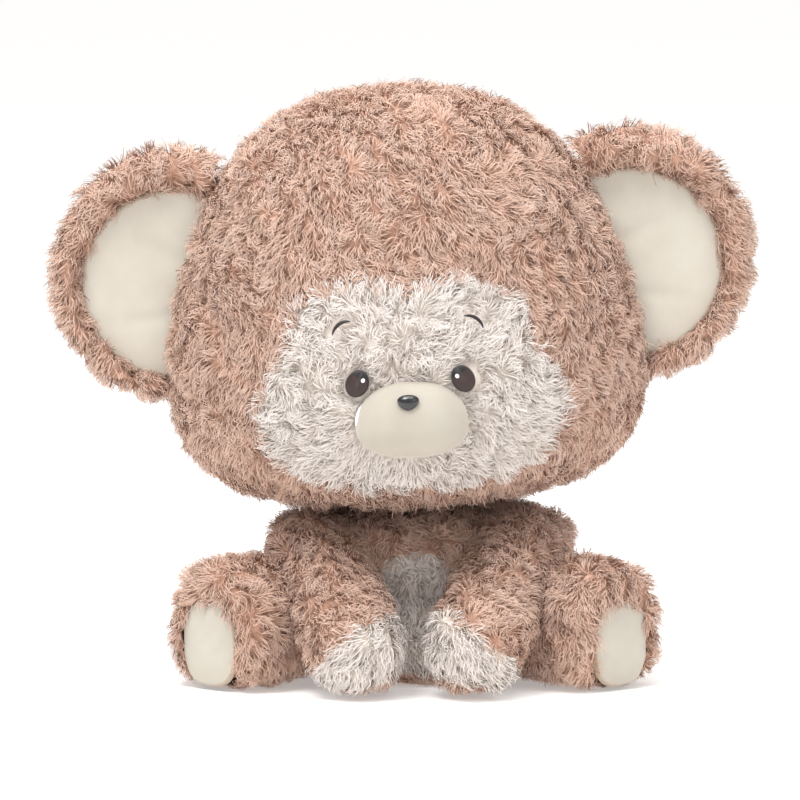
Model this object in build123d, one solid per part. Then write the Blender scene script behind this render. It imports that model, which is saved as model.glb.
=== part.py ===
from build123d import *
import math
import os

# A seated plush monkey, in millimetres. The origin is the middle of the flat seat on the floor.
# +Z is up and -Y is the way the face looks. "Right" is the +X side, and each left piece mirrors it.
# Every skin is a fur fabric cover round its own stuffing, and the limbs are sewn on at soft joints.

# ---- Pile, fabric and the gaps between pieces that move ----
fur_depth = 7.0
seam_gap = 0.6
scoop_gap = 1.2

# ---- Head: a wide dome with full low cheeks, heights from its own underside ----
head_bottom = 90.0
head_height = 206.0
jaw_pull_width = 120.0
cheek_pull_width = 160.0
cheek_pull_height = -8.0
temple_pull_width = 107.0
temple_pull_height = 170.0
crown_pull_width = 96.0
head_depth_share = 0.82
head_y = 3.0
head_tilt = 2.8
gusset_half_width = 67.0
chin_seam_height = 27.0
nape_seam_height = 98.0

# ---- Neck: the stuffing that the head turns and nods on ----
neck_depth = 17.0
neck_filling_radius = 9.0

# ---- Face: heights above the floor, widths from the middle ----
brow_dip_height = 202.5
brow_lobe_x = 32.0
brow_lobe_height = 208.5
temple_x = 58.0
temple_height = 196.0
notch_x = 63.0
notch_height = 174.0
cheek_patch_x = 80.0
cheek_patch_height = 145.0
jowl_x = 73.0
jowl_height = 119.0
chin_x = 42.0
chin_height = 103.0
chin_mid_height = 101.0
muzzle_half_width = 28.2
muzzle_half_depth = 22.0
muzzle_half_height = 19.3
muzzle_y = -92.0
muzzle_z = 137.5
velboa_depth = 2.0
nose_half_width = 5.4
nose_half_depth = 3.2
nose_half_height = 3.9
nose_y = -111.5
nose_z = 147.5
nose_stem_radius = 1.6
nose_stem_length = 14.5
nose_washer_radius = 5.0
nose_washer_thickness = 1.4
nose_washer_back = 12.0
stem_gap = 0.2
eye_x = 26.4
eye_z = 156.5
eye_half_width = 6.3
eye_half_height = 6.8
brow_x = 30.5
brow_z = 180.0
brow_radius = 8.0
brow_start = 11.0
brow_sweep = 88.0
brow_width = 2.2
stitch_height = 1.0
stitch_depth = 2.5

# ---- Ears: flat discs that fold about their sewn edge ----
ear_radius = 63.0
ear_half_thickness = 8.0
ear_edge_round = 6.0
ear_gap = 1.65
ear_root_z = 199.6
ear_lean = 13.2
ear_center_out = -10.3
ear_center_up = 10.9
ear_root_length = 82.0
ear_root_radius = 9.0
lining_radius = 46.0
lining_drop = 6.0
lining_thickness = 3.0
lining_edge = 9.0
batting_radius = 54.0
batting_half_thickness = 2.0

# ---- Body: a squat pear on a flat seat ----
seat_radius = 55.0
hip_pull_width = 80.0
hip_pull_height = 22.0
waist_pull_width = 68.0
waist_pull_height = 58.0
shoulder_pull_width = 55.0
body_height = 87.0
body_y = 4.0
seat_panel_depth = 5.0
belly_half_width = 25.0
belly_half_height = 27.0
belly_z = 37.0
pellet_bag_radius = 30.0
pellet_bag_thickness = 14.0
pellet_bag_z = 9.0
pellet_bag_round = 5.0
label_width = 14.0
label_length = 20.0
label_root = 3.0
label_thickness = 0.8
label_x = -34.0
label_z = 22.0

# ---- Arms: from the chest down to the floor between the legs ----
shoulder_x = 46.0
shoulder_y = -27.0
shoulder_z = 56.0
shoulder_radius = 20.0
hand_x = 28.5
hand_y = -90.0
hand_z = 24.2
hand_radius = 24.0
hand_patch_lean = 32.0
hand_patch_setback = 12.0
palm_height = 8.0

# ---- Legs: short and splayed, with an oval sole at the end ----
hip_x = 60.0
hip_y = -20.0
hip_z = 28.4
hip_radius = 18.5
hip_swing = 18.0
leg_splay = 42.0
leg_radius = 30.0
leg_length = 62.0
leg_rise = 2.2
foot_round = 8.5
sole_half_width = 17.5
sole_half_height = 20.0
sole_thickness = 2.5
sole_drop = 0.8

# ---- Tail: curled on the floor behind the seat ----
tail_y = 54.0
tail_z = 12.2
tail_radius = 12.0
tail_wall = 5.0
tail_straight = 14.0
tail_bend_radius = 24.0
tail_bend = 115.0
tail_swing = 15.0

far = 400.0


def mirrored(shape):
    """The left-hand copy of a right-hand shape."""
    return mirror(shape, Plane.YZ)


def turned(shape, center, axis, angle):
    """The shape turned by an angle about a line through a point."""
    return shape.rotate(Axis(center, axis), angle)


def revolved(edges):
    """A solid of revolution about Z from its half outline in the XZ plane."""
    return revolve(make_face(edges), Axis.Z)


def ellipsoid(center, half_sizes):
    """A ball stretched to three half sizes."""
    return Pos(*center) * scale(Sphere(1), by=tuple(half_sizes))


def block(low, high):
    """A box between two corners."""
    size = [b - a for a, b in zip(low, high)]
    return Pos(*low) * Box(*size, align=(Align.MIN, Align.MIN, Align.MIN))


def forward_prism(sketch, y):
    """A sketch drawn in x and height, carried forward from a depth."""
    return extrude(Plane(origin=(0, y, 0), x_dir=(1, 0, 0), z_dir=(0, -1, 0)).location * sketch, amount=far)


def capsule(root, tip, root_radius, tip_radius):
    """A tapered limb with two round ends, whose side is tangent to both."""
    reach = Vector(*tip) - Vector(*root)
    length = reach.length
    lean = math.asin((tip_radius - root_radius) / length)
    low = (root_radius * math.cos(lean), 0, -root_radius * math.sin(lean))
    high = (tip_radius * math.cos(lean), 0, length - tip_radius * math.sin(lean))
    low_half = (math.pi / 2 - lean) / 2
    high_half = (math.pi / 2 + lean) / 2
    low_mid = (root_radius * math.sin(low_half), 0, -root_radius * math.cos(low_half))
    high_mid = (tip_radius * math.sin(high_half), 0, length + tip_radius * math.cos(high_half))
    outline = ThreePointArc((0, 0, -root_radius), low_mid, low)
    outline += Line(low, high)
    outline += ThreePointArc(high, high_mid, (0, 0, length + tip_radius))
    outline += Line((0, 0, length + tip_radius), (0, 0, -root_radius))
    return Plane(origin=root, z_dir=reach).location * revolved(outline)


def save(name, shape):
    """One node, written as one STEP file."""
    solids = shape.solids()
    node = solids[0] if len(solids) == 1 else Compound(children=solids)
    node.label = name
    export_step(node, f"parts/{name}.step")
    print(name, len(solids), round(sum(solid.volume for solid in solids)))


def save_pair(name, shape):
    """The right-hand node and its left-hand mirror image."""
    save(name + "_right", shape)
    save(name + "_left", mirrored(shape))


os.makedirs("parts", exist_ok=True)

neck_center = (0, body_y, body_height - neck_depth)
shoulder_center = (shoulder_x, shoulder_y, shoulder_z)
hand_center = (hand_x, hand_y, hand_z)
hip_center = (hip_x, hip_y, hip_z)
tail_center = (0, tail_y, tail_z)

# ---- Room that the moving limbs need ----
arm_aim = Vector(*hand_center) - Vector(*shoulder_center)
arm_flat = Vector(arm_aim.X, arm_aim.Y, 0).normalized()
arm_up = arm_aim.cross(Vector(0, 0, 1)).cross(arm_aim)
leg_aim = Vector(math.sin(math.radians(leg_splay)), -math.cos(math.radians(leg_splay)), 0)
leg_across = Vector(leg_aim.Y, -leg_aim.X, 0)
leg_plane = Plane(origin=hip_center, x_dir=leg_across, z_dir=leg_aim * leg_length + Vector(0, 0, leg_rise))


def arm_room(gap):
    """The arm with a gap round it, and the upright slot over it that the rising arm passes through."""
    limb = capsule(shoulder_center, hand_center, shoulder_radius + gap, hand_radius + gap)
    half_slot = hand_radius + gap
    slot_plane = Plane(origin=shoulder_center, x_dir=arm_flat, z_dir=(0, 0, 1))
    slot = slot_plane.location * block((0, -half_slot, -far), (far, half_slot, far))
    over_plane = Plane(origin=shoulder_center, x_dir=arm_aim, z_dir=arm_up)
    return limb + (slot & over_plane.location * block((-far, -far, 0), (far, far, far)))


def leg_form(inset):
    """A leg from the hip out: a round root, a side that widens, and a flat foot with a round edge."""
    root = hip_radius - inset
    foot = leg_radius - inset
    end = leg_length - inset
    side = math.hypot(foot, end - foot_round)
    touch = math.atan2(end - foot_round, foot) - math.acos(root / side)
    low_half = (touch - math.pi / 2) / 2
    touch_point = (root * math.cos(touch), 0, root * math.sin(touch))
    round_mid = foot_round * math.sqrt(0.5)
    round_point = (foot - foot_round + round_mid, 0, end - foot_round + round_mid)
    outline = ThreePointArc((0, 0, -root), (root * math.cos(low_half), 0, root * math.sin(low_half)), touch_point)
    outline += Line(touch_point, (foot, 0, end - foot_round))
    outline += ThreePointArc((foot, 0, end - foot_round), round_point, (foot - foot_round, 0, end))
    outline += Line((foot - foot_round, 0, end), (0, 0, end))
    outline += Line((0, 0, end), (0, 0, -root))
    return leg_plane.location * revolved(outline)


def swung(shape, center, angles):
    """Copies of a shape turned about an upright axis."""
    return [turned(shape, center, (0, 0, 1), angle) for angle in angles]


def without(shape, rooms):
    """A shape with each room cut out of it in turn."""
    for room in rooms:
        shape = shape - room
    return shape


def tail_form(inset):
    """The tail, a round tube along a straight and a bend, with a ball at each end."""
    straight_end = (0, tail_y + tail_straight, tail_z)
    path = Line(tail_center, straight_end) + JernArc(straight_end, (0, 1, 0), tail_bend_radius, -tail_bend)
    section = Plane(origin=tail_center, z_dir=(0, 1, 0)).location * Circle(tail_radius - inset)
    balls = Pos(*tail_center) * Sphere(tail_radius - inset)
    return balls + sweep(section, path) + Pos(*(path @ 1)) * Sphere(tail_radius - inset)


# ---- Head ----


def head_side(inset):
    """The head's half outline, one pulled curve, moved in evenly towards the middle of its height."""
    middle = head_height / 2
    pulls = [
        (0, 0),
        (jaw_pull_width, 0),
        (cheek_pull_width, cheek_pull_height),
        (temple_pull_width, temple_pull_height),
        (crown_pull_width, head_height),
        (0, head_height),
    ]
    shrink = 1 - inset / middle
    return Bezier(*[(width * shrink, 0, middle + (height - middle) * shrink) for width, height in pulls])


def head_placed(shape):
    """The round form narrowed front to back and set on the neck."""
    return Pos(0, head_y, head_bottom) * scale(shape, by=(1, head_depth_share, 1))


def head_form(inset):
    """The solid head, inside the outer surface by the inset."""
    side = head_side(inset)
    return head_placed(revolved(side + Line(side @ 1, side @ 0)))


outer_side = head_side(0)
inner_side = head_side(fur_depth)
skin_edges = outer_side + Line(outer_side @ 1, inner_side @ 1) + inner_side
head_skin = head_placed(revolved(skin_edges + Line(inner_side @ 0, outer_side @ 0)))


def tilted(shape):
    """The head's lean to one side, about the neck."""
    return turned(shape, neck_center, (0, 1, 0), -head_tilt)


# The ear's root lies along the head at its lean, clear of the farthest that the outline reaches that way.
ear_out = Vector(math.cos(math.radians(ear_lean)), 0, math.sin(math.radians(ear_lean)))
outline_steps = 200
outline_points = [outer_side @ (step / outline_steps) + Vector(0, 0, head_bottom) for step in range(outline_steps + 1)]
ear_reach = max(point.dot(ear_out) for point in outline_points) + ear_gap + ear_root_radius
ear_root_x = (ear_reach - ear_root_z * ear_out.Z) / ear_out.X
ear_plane = Plane(origin=(ear_root_x, head_y, ear_root_z), x_dir=ear_out, z_dir=(0, -1, 0))

gusset = block((-gusset_half_width, -far, 0), (gusset_half_width, far, far))
beyond_gusset = block((gusset_half_width, -far, 0), (far, far, far))
chin_seam_z = head_bottom + chin_seam_height
nape_seam_z = head_bottom + nape_seam_height
chin_room = block((-far, -far, 0), (far, head_y, chin_seam_z))
nape_room = block((-far, head_y, 0), (far, far, nape_seam_z))

face_half = [
    (brow_lobe_x, brow_lobe_height),
    (temple_x, temple_height),
    (notch_x, notch_height),
    (cheek_patch_x, cheek_patch_height),
    (jowl_x, jowl_height),
    (chin_x, chin_height),
]
face_points = [(0, brow_dip_height), *face_half, (0, chin_mid_height)]
face_points += [(-x, z) for x, z in reversed(face_half)]
face_prism = forward_prism(make_face(Spline(*face_points, periodic=True)), head_y)

eye_prism = forward_prism(Pos(eye_x, eye_z) * Ellipse(eye_half_width, eye_half_height), head_y)
brow_arc = CenterArc((brow_x, brow_z), brow_radius, brow_start, brow_sweep)
brow_prism = forward_prism(SlotArc(brow_arc, brow_width), head_y)
stitch_top = head_form(-stitch_height)
stitch_floor = head_form(stitch_depth)
eye = (eye_prism & stitch_top) - stitch_floor
brow = (brow_prism & stitch_top) - stitch_floor

head_middle = head_skin & gusset
side_panel = (head_skin & beyond_gusset) - face_prism
face_patch = head_skin & face_prism
for stitched in (eye_prism, brow_prism):
    pocket = stitched - stitch_floor
    face_patch = face_patch - pocket - mirrored(pocket)
brown_middle = head_middle - face_prism
chin_panel = brown_middle & chin_room
nape_panel = brown_middle & nape_room
crown_panel = brown_middle - chin_room - nape_room
head_filling = head_form(fur_depth)

nose_center = (0, nose_y, nose_z)
nose_line = Plane(origin=nose_center, z_dir=(0, 1, 0)).location
stem = nose_line * Cylinder(nose_stem_radius, nose_stem_length, align=(Align.CENTER, Align.CENTER, Align.MIN))
nose = ellipsoid(nose_center, (nose_half_width, nose_half_depth, nose_half_height)) + stem
washer_disc = Cylinder(nose_washer_radius, nose_washer_thickness)
washer_room = nose_line * Pos(0, 0, nose_washer_back) * washer_disc
nose_washer = nose_line * Pos(0, 0, nose_washer_back) * (
    washer_disc - Cylinder(nose_stem_radius + stem_gap, 2 * nose_washer_thickness)
)
muzzle_center = (0, muzzle_y, muzzle_z)
muzzle_half = (muzzle_half_width, muzzle_half_depth, muzzle_half_height)
muzzle_core = ellipsoid(muzzle_center, [half - velboa_depth for half in muzzle_half])
head_solid = head_form(0)
muzzle_cover = ellipsoid(muzzle_center, muzzle_half) - muzzle_core - head_solid - nose
muzzle_filling = muzzle_core - head_solid - nose - washer_room

save("crown_panel", tilted(crown_panel))
save("chin_panel", tilted(chin_panel))
save("nape_panel", tilted(nape_panel))
save("face_patch", tilted(face_patch))
save("head_filling", tilted(head_filling))
save("muzzle_cover", tilted(muzzle_cover))
save("muzzle_filling", tilted(muzzle_filling))
save("nose", tilted(nose))
save("nose_washer", tilted(nose_washer))
for name, shape in (("head_side", side_panel), ("eye", eye), ("brow", brow)):
    save(name + "_right", tilted(shape))
    save(name + "_left", tilted(mirrored(shape)))

# ---- Ears ----
ear_disc = fillet(Cylinder(ear_radius, 2 * ear_half_thickness).edges().filter_by(GeomType.CIRCLE), ear_edge_round)
ear_slab = (Pos(ear_center_out, ear_center_up) * ear_disc) & block((0, -far, -far), (far, far, far))
ear_root = Rot(90, 0, 0) * Cylinder(ear_root_radius, ear_root_length)
batting = Pos(ear_center_out, ear_center_up) * Cylinder(batting_radius, 2 * batting_half_thickness)
batting = batting & block((lining_edge, -far, -far), (far, far, far))
lining = Cylinder(lining_radius, lining_thickness, align=(Align.CENTER, Align.CENTER, Align.MIN))
lining = Pos(ear_center_out, ear_center_up - lining_drop, batting_half_thickness) * lining
lining = lining & block((lining_edge, -far, -far), (far, far, far))
lining_room = Cylinder(lining_radius, far, align=(Align.CENTER, Align.CENTER, Align.MIN))
lining_room = Pos(ear_center_out, ear_center_up - lining_drop, batting_half_thickness) * lining_room
lining_room = lining_room & block((lining_edge, -far, -far), (far, far, far))
ear_back = ((ear_slab & block((-far, -far, -far), (far, far, 0))) + ear_root) - batting
ear_rim = (ear_slab & block((-far, -far, 0), (far, far, far))) - ear_root - lining_room - batting
ear_pieces = (("ear_back", ear_back), ("ear_rim", ear_rim), ("ear_lining", lining), ("ear_batting", batting))
for name, shape in ear_pieces:
    placed = ear_plane.location * shape
    save(name + "_right", tilted(placed))
    save(name + "_left", tilted(mirrored(placed)))

# ---- Body ----


def body_side(inset):
    """The body's half outline: a flat seat, then one pulled curve up to the neck."""
    side = Bezier(
        (seat_radius - inset / 2, 0, inset),
        (hip_pull_width - inset, 0, hip_pull_height),
        (waist_pull_width - inset, 0, waist_pull_height),
        (shoulder_pull_width - inset / 2, 0, body_height - inset),
        (0, 0, body_height - inset),
    )
    return Line((0, 0, inset), side @ 0) + side


outer_body = body_side(0)
inner_body = body_side(fur_depth)
top_edge = Line((0, 0, body_height), (0, 0, body_height - fur_depth))
body_skin = Pos(0, body_y, 0) * revolved(outer_body + top_edge + inner_body + Line((0, 0, fur_depth), (0, 0, 0)))
body_core = Pos(0, body_y, 0) * revolved(inner_body + Line((0, 0, body_height - fur_depth), (0, 0, fur_depth)))

limb_rooms = [arm_room(seam_gap), *swung(leg_form(-seam_gap), hip_center, (0, hip_swing / 2, hip_swing))]
limb_rooms += [mirrored(room) for room in limb_rooms]
tail_turns = (-tail_swing, -tail_swing / 2, 0, tail_swing / 2, tail_swing)
limb_rooms += swung(tail_form(-scoop_gap), tail_center, tail_turns)
body_skin = without(body_skin, limb_rooms)
neck_filling = Pos(*neck_center) * Sphere(neck_filling_radius)
neck_filling_room = Pos(*neck_center) * Sphere(neck_filling_radius + seam_gap)
pellet_bag = fillet(
    Cylinder(pellet_bag_radius, pellet_bag_thickness).edges().filter_by(GeomType.CIRCLE), pellet_bag_round
)
pellet_bag = Pos(0, body_y, pellet_bag_z + pellet_bag_thickness / 2) * pellet_bag
body_filling = without(body_core, limb_rooms + [neck_filling_room, pellet_bag])

seat_room = block((-far, -far, 0), (far, far, seat_panel_depth))
front_room = block((-far, -far, 0), (far, body_y, far))
belly_prism = forward_prism(Pos(0, belly_z) * Ellipse(belly_half_width, belly_half_height), body_y)
seat_panel = body_skin & seat_room
upper_skin = body_skin - seat_room
back_panel = upper_skin - front_room
chest_skin = upper_skin & front_room
belly_patch = chest_skin & belly_prism
chest_panel = chest_skin - belly_prism

label_y = body_y + math.sqrt(seat_radius**2 - label_x**2)
care_label = block(
    (label_x, label_y - label_root, label_z),
    (label_x + label_thickness, label_y + label_length, label_z + label_width),
)
back_panel = back_panel - care_label
body_filling = body_filling - care_label

save("seat_panel", seat_panel)
save("back_panel", back_panel)
save("chest_panel", chest_panel)
save("belly_patch", belly_patch)
save("body_filling", body_filling)
save("pellet_bag", pellet_bag)
save("neck_filling", neck_filling)
save("care_label", care_label)

# ---- Arms ----
arm = capsule(shoulder_center, hand_center, shoulder_radius, hand_radius)
arm_filling = capsule(shoulder_center, hand_center, shoulder_radius - fur_depth, hand_radius - fur_depth)
lean = math.radians(hand_patch_lean)
patch_aim = Vector(-math.sin(lean), -math.cos(lean), 0)
patch_plane = Plane(origin=Vector(*hand_center) - arm_flat * hand_patch_setback, z_dir=patch_aim)
patch_room = patch_plane.location * block((-far, -far, 0), (far, far, far))
patch_room = patch_room & block((-far, -far, palm_height), (far, far, far))
arm_skin = arm - arm_filling
save_pair("hand_patch", arm_skin & patch_room)
save_pair("arm_sleeve", arm_skin - patch_room)
save_pair("arm_filling", arm_filling)

# ---- Legs ----
arm_passes = (0, -hip_swing / 2, -hip_swing)
leg_outer = without(leg_form(0), swung(arm_room(scoop_gap), hip_center, arm_passes))
leg_filling = without(leg_form(fur_depth), swung(arm_room(scoop_gap + fur_depth), hip_center, arm_passes))
sole_sketch = Pos(0, sole_drop) * Ellipse(sole_half_width, sole_half_height)
sole = leg_plane.location * Pos(0, 0, leg_length - sole_thickness) * extrude(sole_sketch, amount=sole_thickness)
save_pair("leg_cover", leg_outer - leg_filling - sole)
save_pair("foot_sole", sole)
save_pair("leg_filling", leg_filling)

# ---- Tail ----
tail_filling = tail_form(tail_wall)
save("tail_cover", tail_form(0) - tail_filling)
save("tail_filling", tail_filling)
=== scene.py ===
import math

import bpy
import numpy as np
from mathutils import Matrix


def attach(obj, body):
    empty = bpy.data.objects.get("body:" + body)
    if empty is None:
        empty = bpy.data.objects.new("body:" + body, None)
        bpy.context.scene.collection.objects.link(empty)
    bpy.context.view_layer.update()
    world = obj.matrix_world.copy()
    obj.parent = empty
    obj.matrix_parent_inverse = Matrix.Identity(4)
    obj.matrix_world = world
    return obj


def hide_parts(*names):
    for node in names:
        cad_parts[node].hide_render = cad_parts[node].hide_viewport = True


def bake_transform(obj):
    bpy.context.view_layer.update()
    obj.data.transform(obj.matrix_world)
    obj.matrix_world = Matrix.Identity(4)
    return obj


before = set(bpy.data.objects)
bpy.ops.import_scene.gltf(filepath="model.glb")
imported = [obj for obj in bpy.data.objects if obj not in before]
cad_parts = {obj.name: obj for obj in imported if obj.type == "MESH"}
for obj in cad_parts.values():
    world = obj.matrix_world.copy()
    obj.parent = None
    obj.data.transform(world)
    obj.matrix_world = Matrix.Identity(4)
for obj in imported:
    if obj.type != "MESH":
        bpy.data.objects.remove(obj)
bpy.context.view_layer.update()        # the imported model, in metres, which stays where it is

# Lengths below are millimetres, in the toy's own frame: +Z up, the face looks along -Y.
mm = 0.001
seed = 20240


def linear(hexText):
    # sRGB hex to linear: each channel c is c/12.92 below 0.04045, else ((c+0.055)/1.055) to the power 2.4
    channels = [int(hexText[i:i + 2], 16) / 255 for i in (1, 3, 5)]
    return tuple(c / 12.92 if c <= 0.04045 else ((c + 0.055) / 1.055) ** 2.4 for c in channels) + (1.0,)


def addNode(tree, kind, settings=None, links=None):
    # one node: settings sets its properties or its inputs by name, links joins inputs to other nodes' outputs
    node = tree.nodes.new(kind)
    for key, value in (settings or {}).items():
        if isinstance(key, str) and hasattr(node, key):
            setattr(node, key, value)
        else:
            node.inputs[key].default_value = value
    for key, output in (links or {}).items():
        tree.links.new(output, node.inputs[key])
    return node


def setInputs(node, values):
    for key, value in values.items():
        node.inputs[key].default_value = value


def newMaterial(name):
    material = bpy.data.materials.new(name)
    material.use_nodes = True
    tree = material.node_tree
    tree.nodes.clear()
    shader = addNode(tree, "ShaderNodeBsdfPrincipled")
    addNode(tree, "ShaderNodeOutputMaterial", links={"Surface": shader.outputs["BSDF"]})
    return material, tree, shader


def rampStops(ramp, stops):
    # stops are (place, hex) pairs
    elements = ramp.color_ramp.elements
    while len(elements) < len(stops):
        elements.new(0.5)
    for element, (place, hexText) in zip(elements, stops):
        element.position = place
        element.color = linear(hexText)


def unit(v):
    return v / np.maximum(np.linalg.norm(v, axis=-1, keepdims=True), 1e-9)


def buildMesh(name, points, corners, sizes, uv=None, material=None, tint=None, normals=None):
    # a mesh from whole arrays: points (n,3) in mm, all face corners in a row, and each face's corner count
    mesh = bpy.data.meshes.new(name)
    mesh.vertices.add(len(points))
    mesh.vertices.foreach_set("co", (points * mm).astype(np.float32).ravel())
    mesh.loops.add(len(corners))
    mesh.loops.foreach_set("vertex_index", corners.astype(np.int32))
    mesh.polygons.add(len(sizes))
    starts = np.concatenate([[0], np.cumsum(sizes)[:-1]])
    mesh.polygons.foreach_set("loop_start", starts.astype(np.int32))
    mesh.update(calc_edges=True)
    mesh.shade_smooth()
    if uv is not None:
        for layerName in ("strand", "OFBake"):
            layer = mesh.uv_layers.new(name=layerName)
            layer.data.foreach_set("uv", uv[corners].astype(np.float32).ravel())
    if tint is not None:
        layer = mesh.attributes.new("tint", "FLOAT", "POINT")
        layer.data.foreach_set("value", tint.astype(np.float32))
    if normals is not None:
        layer = mesh.attributes.new("custom_normal", "FLOAT_VECTOR", "POINT")
        layer.data.foreach_set("vector", normals.astype(np.float32).ravel())
    if material is not None:
        mesh.materials.append(material)
    piece = bpy.data.objects.new(name, mesh)
    bpy.context.scene.collection.objects.link(piece)
    return piece


def gridCorners(rows, columns, closed):
    # quads of a rows by columns grid, closed round the columns if asked
    last = columns if closed else columns - 1
    i, j = np.meshgrid(np.arange(rows - 1), np.arange(last), indexing="ij")
    k = (j + 1) % columns
    low, high = i * columns, (i + 1) * columns
    return np.stack([low + j, low + k, high + k, high + j], -1).reshape(-1, 4)


def roundGrid(rows, columns, first=0.0):
    # rise down the rows, from first to 1, and turn round the columns, each as one flat array
    r, t = np.meshgrid(np.linspace(first, 1, rows), np.arange(columns) / columns, indexing="ij")
    return r.ravel(), t.ravel()


def quadPiece(name, points, quads, material, tint=None):
    return buildMesh(name, points, quads.ravel(), np.full(len(quads), 4), None, material, tint)


def wave(points, wavelength, key, count=7):
    # smooth noise from -1 to 1: the mean of sine waves with seeded directions and phases
    dice = np.random.default_rng(seed + key)
    direction = unit(dice.normal(size=(count, 3))) * (2 * math.pi / wavelength)
    direction = direction * dice.uniform(0.7, 1.4, (count, 1))
    phase = dice.uniform(0, 2 * math.pi, count)
    return np.sin(points @ direction.T + phase).mean(-1) * 1.8


def tangents(form, turn, rise):
    # the surface's two directions and its outward normal, from small steps in each parameter
    step = 1e-3
    low, high = np.clip(rise - step, 0, 1), np.clip(rise + step, 0, 1)
    alongTurn = form(turn + step, rise) - form(turn - step, rise)
    alongRise = form(turn, high) - form(turn, low)
    return unit(alongTurn), unit(alongRise), unit(np.cross(alongTurn, alongRise))


neckPoint = np.array([0.0, 4.0, 70.0])
pileRoot = 4.5        # the backing cloth lies this far under the middle of the pile

headSize = {
    "bottom": 90.0, "height": 206.0, "y": 3.0,
    "tilt": 2.8,             # degrees to one side
    "depthShare": 0.82,      # front to back against side to side
    "pulls": [(0, 0), (128, 0), (160, -8), (107, 170), (96, 206), (0, 206)],     # radius and height
    "gusset": 67.0,          # the side panels begin this far out
    "chinSeam": 117.0, "napeSeam": 188.0,
    "flatten": 1.0,          # the crown's cloth lies this much deeper
}


def turnedAbout(points, center, axis, degrees):
    # Rodrigues' turn of points about a line
    k = np.asarray(axis, float) / np.linalg.norm(axis)
    angle = math.radians(degrees)
    p = points - center
    straight = np.outer(p @ k, k) * (1 - math.cos(angle))
    return center + p * math.cos(angle) + np.cross(k, p) * math.sin(angle) + straight


def tilted(points):
    return turnedAbout(points, neckPoint, (0, 1, 0), -headSize["tilt"])


def pulled(pulls, t):
    # a Bezier curve: each pull point weighted by its Bernstein polynomial
    degree = len(pulls) - 1
    weights = [math.comb(degree, i) * t ** i * (1 - t) ** (degree - i) for i in range(degree + 1)]
    return sum(np.multiply.outer(w, np.array(p, float)) for w, p in zip(weights, pulls))


def revolved(radius, height, turn):
    angle = 2 * math.pi * turn
    return np.stack([radius * np.cos(angle), radius * np.sin(angle), height], -1)


def headLocal(turn, rise, inset):
    # the pulled outline turned round Z, narrowed front to back, and moved in evenly about its middle height
    outline = pulled(headSize["pulls"], rise)
    middle = headSize["height"] / 2
    shrink = 1 - inset / middle
    sink = np.where(outline[:, 1] > middle, 1 - (inset + headSize["flatten"]) / middle, shrink)
    points = revolved(outline[:, 0] * shrink, middle + (outline[:, 1] - middle) * sink, turn)
    points[:, 1] *= headSize["depthShare"]
    return points + (0, headSize["y"], headSize["bottom"])


bodySize = {
    "y": 4.0, "height": 87.0,
    "pulls": [(55, 0), (80, 22), (66, 60), (62, 88), (0, 87)],     # radius and height, from the seat up
    "seatShare": 0.22,       # of rise goes to the flat seat
    "seatSeam": 5.0,
    "shoulders": 0.74,       # how much wider the top is from side to side
    "chestBack": 0.34,       # how far the chest draws back from the arms
    "shift": 3.0,            # the top leans this far to one side
}


def bodyForm(turn, rise, inset=pileRoot):
    # a flat seat, then a pulled outline, both turned round Z
    seat, lift = bodySize["seatShare"], inset * 0.55
    side = pulled(bodySize["pulls"], np.clip((rise - seat) / (1 - seat), 0, 1))
    seatRadius = np.clip(rise / seat, 0, 1) * (bodySize["pulls"][0][0] - inset / 2)
    sideRadius = np.maximum(side[:, 0] - inset, 0) * np.clip((1 - rise) / 0.03, 0, 1)
    radius = np.where(rise < seat, seatRadius, sideRadius)
    height = np.where(rise < seat, lift, side[:, 1] * (1 - 1.4 * inset / bodySize["height"]) + lift)
    points = revolved(radius, height, turn)
    # the shoulders: wider from side to side near the top
    points[:, 0] *= 1 + bodySize["shoulders"] * np.clip((height - 40) / 35, 0, 1) ** 2
    # the chest lies back from the arms
    front = np.clip((height - 12) / 30, 0, 1) * bodySize["chestBack"]
    points[:, 1] *= np.where(points[:, 1] < 0, 1 - front, 1)
    points[:, 0] += bodySize["shift"] * np.clip(height / 60, 0, 1)
    return points + (0, bodySize["y"], 0)


def squircle(x, y):
    # 1 on a rounded square, as the sum of each half size's share to the power 2.7
    return (np.abs(x) ** 2.7 + np.abs(y) ** 2.7) ** (1 / 2.7)


def placedAlong(points, root, reach):
    # a form about Z is laid along a direction, with its own X axis level
    axis = np.asarray(reach, float) / np.linalg.norm(reach)
    across = unit(np.cross((0, 0, 1), axis))
    up = np.cross(axis, across)
    sideways, upwards, onwards = (np.outer(points[:, i], v) for i, v in enumerate((across, up, axis)))
    return np.asarray(root) + sideways + upwards + onwards


def alongLine(radii, heights, turn, rise):
    # an outline given as points, turned round its axis; rise is the share of the outline's length
    steps = np.hypot(np.diff(radii), np.diff(heights))
    share = np.concatenate([[0], np.cumsum(steps)]) / steps.sum()
    return revolved(np.interp(rise, share, radii), np.interp(rise, share, heights), turn)


armSize = {
    "shoulder": (50.0, -26.0, 58.0), "rootRadius": 26.5,
    "hand": (29.0, -90.0, 25.0), "tipRadius": 25.0,
}


def armForm(turn, rise, inset=pileRoot):
    # a ball at each end and a straight taper between them, as radius against distance
    reach = np.subtract(armSize["hand"], armSize["shoulder"])
    ball = np.repeat([armSize["rootRadius"] - inset, armSize["tipRadius"] - inset], 30)
    middle = np.repeat([0, np.linalg.norm(reach)], 30)
    angle = np.radians(np.concatenate([np.linspace(-90, 0, 30), np.linspace(0, 90, 30)]))
    local = alongLine(ball * np.cos(angle), middle + ball * np.sin(angle), turn, rise)
    return placedAlong(local, armSize["shoulder"], reach)


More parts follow.
